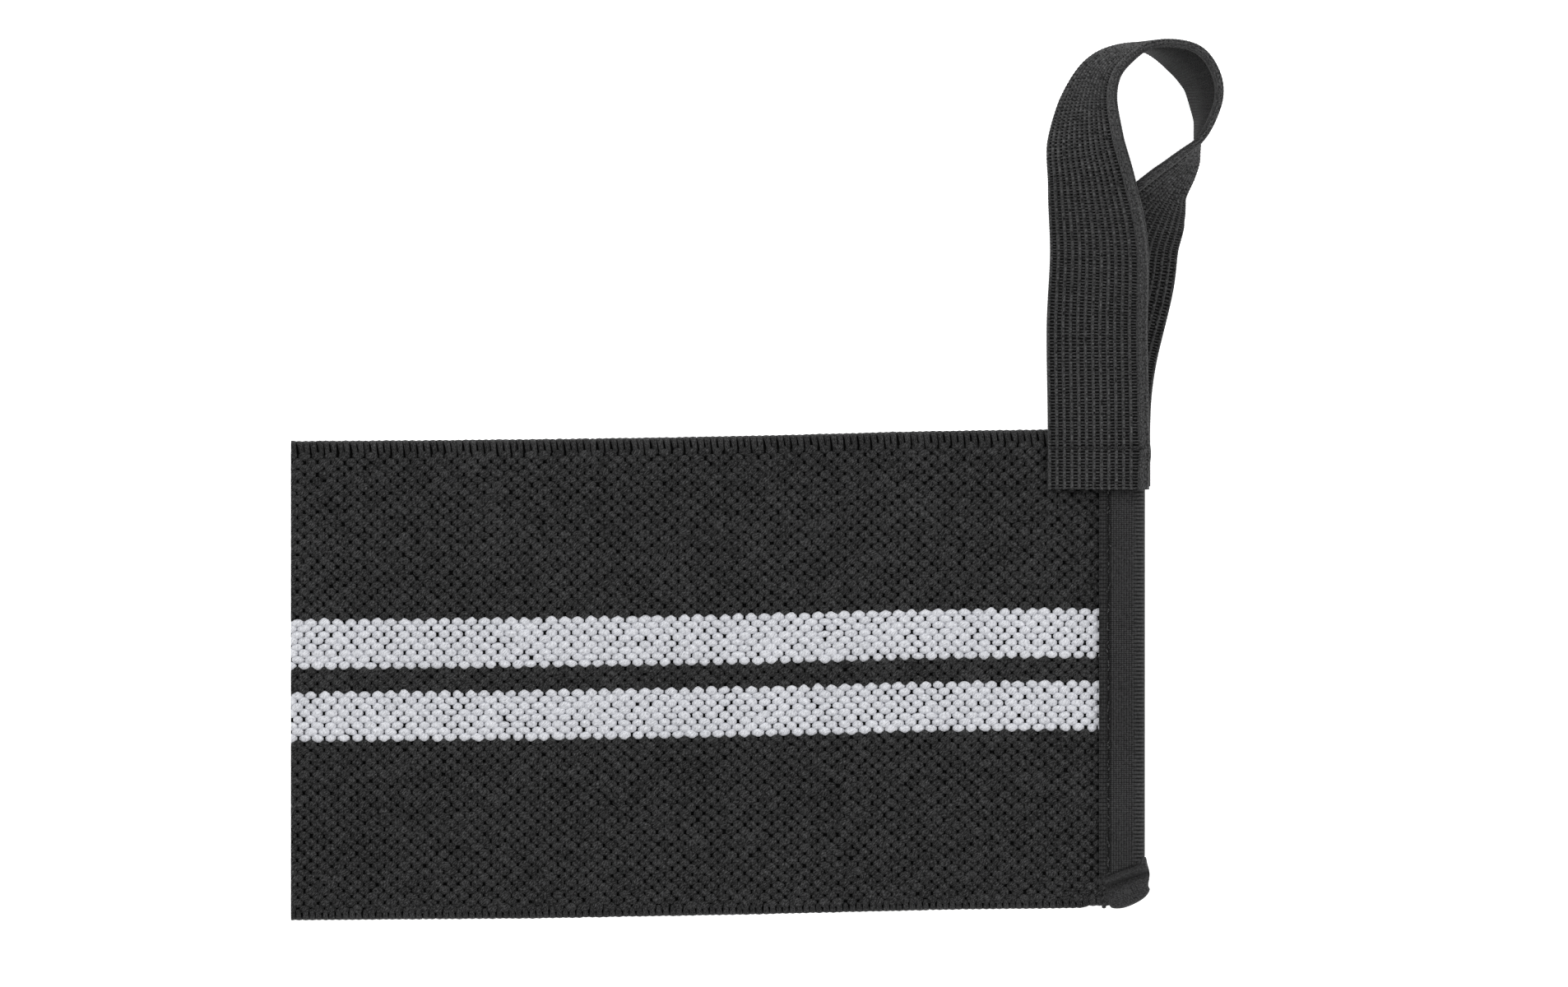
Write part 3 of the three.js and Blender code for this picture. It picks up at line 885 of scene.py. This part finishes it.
# how far the top is pressed in at a place, by the creases that pass there
def creaseDepth(place):
    depth = 0
    for start, end, deep, wide in tuck["creases"]:
        away, run = place - Vector(start), Vector(end) - Vector(start)
        share = min(1, max(0, away.dot(run) / run.length_squared))
        depth += deep * hump((away - run * share).length, 0, wide)
    return depth


def tuckShape():
    corners = np.array(tuck["outline"])
    closed = np.concatenate([corners[-2:], corners, corners[:3]])
    line = splineThrough(closed, np.ones(len(closed) - 1), tuck["outlineSteps"]) - np.array(tuck["centre"])
    angles = np.arctan2(line[:, 1], line[:, 0])
    order = np.argsort(angles)
    reach = np.hypot(line[:, 0], line[:, 1])
    shape = bmesh.new()
    bmesh.ops.create_uvsphere(shape, u_segments=tuck["steps"][0], v_segments=tuck["steps"][1], radius=1)
    for vert in shape.verts:
        angle = math.atan2(vert.co.y, vert.co.x)
        plan = math.hypot(vert.co.x, vert.co.y)
        far = np.interp(angle, angles[order], reach[order], period=math.tau) * plan ** tuck["planRound"]
        place = Vector((math.cos(angle), math.sin(angle))) * far + Vector(tuck["centre"])
        height = math.copysign(abs(vert.co.z) ** tuck["topRound"], vert.co.z) * tuck["half"]
        if vert.co.z > 0:
            height -= creaseDepth(place) * min(1, tuck["creaseEase"] * vert.co.z)
        vert.co = (place.x, place.y, tuck["half"] + height)
    return shape


mesh = laidMesh("binding_tuck", tuckShape(), toFrame)
addPiece("binding_tuck", mesh, tailTape)

# the end of the strip inside the stitches, drawn round the lower corner
nub = {
    "place": (-6.45, 1.65, 1.9), "size": (3.3, 0.8, 0.9), "turn": 1.53, "fullness": 0.25,
    "sides": 8, "rings": 8,
}
shape = beadShape(nub["sides"], nub["rings"], nub["size"], nub["fullness"])
mesh = joinedMesh("binding_nub", shape, np.array([nub["place"]]), toFrame, turns=np.array([nub["turn"]]))
addPiece("binding_nub", mesh, sewingThread)
print("binding ready")

# Hook fastener under the free end: a thin tape with rows of small hooks
hooks = {
    "low": 0.55, "corner": 4, "cornerSteps": 8, "pitch": (1.6, 1.4), "edge": 1.6, "sunk": 0.05,
    "wire": 0.24, "wireSides": 4, "bendCentre": (0.28, 0, 0.36), "bend": 1.35 * math.pi, "bendSteps": 6,
}
hookLow, hookHigh = (np.array(corner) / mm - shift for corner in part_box("hook_patch"))
shape = bmesh.new()
bmesh.ops.create_grid(shape, x_segments=1, y_segments=1, size=0.5)
bmesh.ops.scale(shape, vec=(hookHigh[0] - hookLow[0], hookHigh[1] - hookLow[1], 1), verts=shape.verts)
bmesh.ops.bevel(
    shape, geom=shape.verts[:], offset=hooks["corner"], segments=hooks["cornerSteps"],
    profile=0.5, affect="VERTICES", material=-1,
)
bmesh.ops.solidify(shape, geom=shape.faces, thickness=hookHigh[2] - hooks["low"])
bmesh.ops.recalc_face_normals(shape, faces=shape.faces)
floor = min(vert.co.z for vert in shape.verts)
bmesh.ops.translate(shape, vec=[*((hookLow + hookHigh) / 2)[:2], hooks["low"] - floor], verts=shape.verts)
mesh = laidMesh("hook_backing", shape, toFrame)
patch = addPiece("hook_backing", mesh, hookTape, ("hook_patch",))
for face in mesh.polygons:
    face.use_smooth = False

shape = bmesh.new()
bmesh.ops.create_circle(shape, cap_ends=True, segments=hooks["wireSides"], radius=hooks["wire"] / 2)
bmesh.ops.translate(shape, vec=(0, 0, hooks["low"] + hooks["sunk"]), verts=shape.verts)
bmesh.ops.spin(
    shape, geom=shape.faces[:], cent=hooks["bendCentre"], axis=(0, 1, 0), dvec=(0, 0, 0),
    angle=-hooks["bend"], steps=hooks["bendSteps"],
)
bmesh.ops.recalc_face_normals(shape, faces=shape.faces)
xs = np.arange(hookLow[0] + hooks["edge"], hookHigh[0] - hooks["edge"], hooks["pitch"][0])
ys = np.arange(hookLow[1] + hooks["edge"], hookHigh[1] - hooks["edge"], hooks["pitch"][1])
places = np.array([(x, y, 0) for x in xs for y in ys])
field = joinedMesh("hook_field", shape, places, toFrame, tones=chance.uniform(0, 1, len(places)))
hookField = addPiece("hook_field", field, hookWire)
print("hook patch ready")

loopLength * mm

# Floor, light and camera
studio = {
    "frameWide": 248.9, "aim": (4.34, -2.15), "lens": 700, "sensor": 36, "nearest": 0.1, "farthest": 20,
    "floorHalf": 8, "floorHeight": -0.0003, "sky": 0.68,
    "softboxWatts": 4, "softboxWide": 0.9, "softboxes": ((-0.45, 0.7, 0.85), (0.5, 0.3, 0.9)),
}
floorLook = {
    "dark": (0.93, 0.93, 0.93), "light": (0.95, 0.95, 0.95), "patchScale": 3.0,
    "fixed": {"Roughness": 0.9, "Emission Color": (1, 1, 1, 1), "Emission Strength": 0.8},
}


def floorRecipe(start, look):
    spot = start.add("ShaderNodeTexCoord", {}, {}, output="Object")
    patch = start.add("ShaderNodeTexNoise", {}, {"Vector": spot, "Scale": look["patchScale"], "Detail": 2.0})
    return {"Base Color": patch.colour(look["dark"], look["light"])}


shape = bmesh.new()
bmesh.ops.create_grid(shape, x_segments=1, y_segments=1, size=studio["floorHalf"])
bmesh.ops.translate(shape, vec=(0, 0, studio["floorHeight"]), verts=shape.verts)
mesh = bpy.data.meshes.new("floor")
shape.to_mesh(mesh)
shape.free()
mesh.materials.append(newFinish("pale floor", floorLook, floorRecipe))
floorPiece = bpy.data.objects.new("floor", mesh)
bpy.context.scene.collection.objects.link(floorPiece)

world = bpy.data.worlds.new("studio")
world.use_nodes = True
world.node_tree.nodes["Background"].inputs["Color"].default_value = (1, 1, 1, 1)
world.node_tree.nodes["Background"].inputs["Strength"].default_value = studio["sky"]
bpy.context.scene.world = world

for place in studio["softboxes"]:
    light = bpy.data.lights.new("softbox", "AREA")
    light.shape = "SQUARE"
    light.size = studio["softboxWide"]
    light.energy = studio["softboxWatts"]
    softbox = bpy.data.objects.new("softbox", light)
    softbox.location = place
    softbox.rotation_euler = (-Vector(place)).to_track_quat("-Z", "Y").to_euler()
    softbox.visible_camera = False
    bpy.context.scene.collection.objects.link(softbox)

lens = bpy.data.cameras.new("camera")
lens.lens = studio["lens"]
lens.sensor_width = studio["sensor"]
lens.clip_start = studio["nearest"]
lens.clip_end = studio["farthest"]
away = studio["frameWide"] * mm * lens.lens / lens.sensor_width
camera = bpy.data.objects.new("camera", lens)
camera.location = (studio["aim"][0] * mm, studio["aim"][1] * mm, away)
bpy.context.scene.collection.objects.link(camera)
bpy.context.scene.camera = camera
bpy.context.scene.view_settings.view_transform = "Standard"
print("studio ready")
